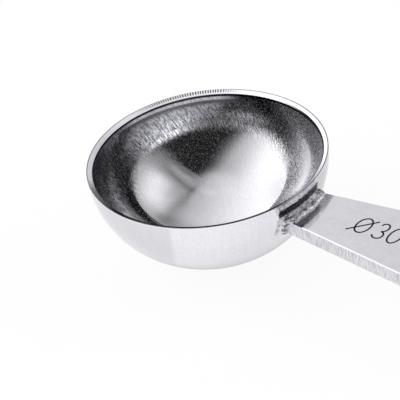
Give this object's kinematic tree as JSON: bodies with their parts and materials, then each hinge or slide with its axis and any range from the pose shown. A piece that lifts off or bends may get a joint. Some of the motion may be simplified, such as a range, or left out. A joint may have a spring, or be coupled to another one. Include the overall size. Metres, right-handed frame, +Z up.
{
  "type": "melon baller",
  "caption": "Melon baller with a pressed steel cup welded to a flaring flat strip, black riveted grip scales and a lined hanging hole.",
  "frame": {"origin": "on the table under the middle of the tool's bounding box, with the tool lying on the cup's underside and the grip's butt", "axes": "+X along the handle from the cup to the butt, +Z up; the tool's own rim plane and strip lean 1.29 degrees nose-up about Y"},
  "size_m": [0.175, 0.03, 0.0142],
  "materials": {
    "cup_steel": "polished, with fine brushing down the inner wall",
    "strip_steel": "polished faces, sheared edges with cross grain",
    "weld_steel": "rippled weld, partly ground",
    "rivet_steel": "ground flush",
    "grip_plastic": "fine satin grain"
  },
  "bodies": {
    "root": {"cup": "cup_steel", "weld_bead": "weld_steel", "tang": "strip_steel", "upper_scale": "grip_plastic", "lower_scale": "grip_plastic", "rivet_socket_front": "rivet_steel", "rivet_socket_middle": "rivet_steel", "rivet_socket_rear": "rivet_steel", "rivet_pin_front": "rivet_steel", "rivet_pin_middle": "rivet_steel", "rivet_pin_rear": "rivet_steel", "hanging_tube": "rivet_steel"}
  },
  "joints": []
}
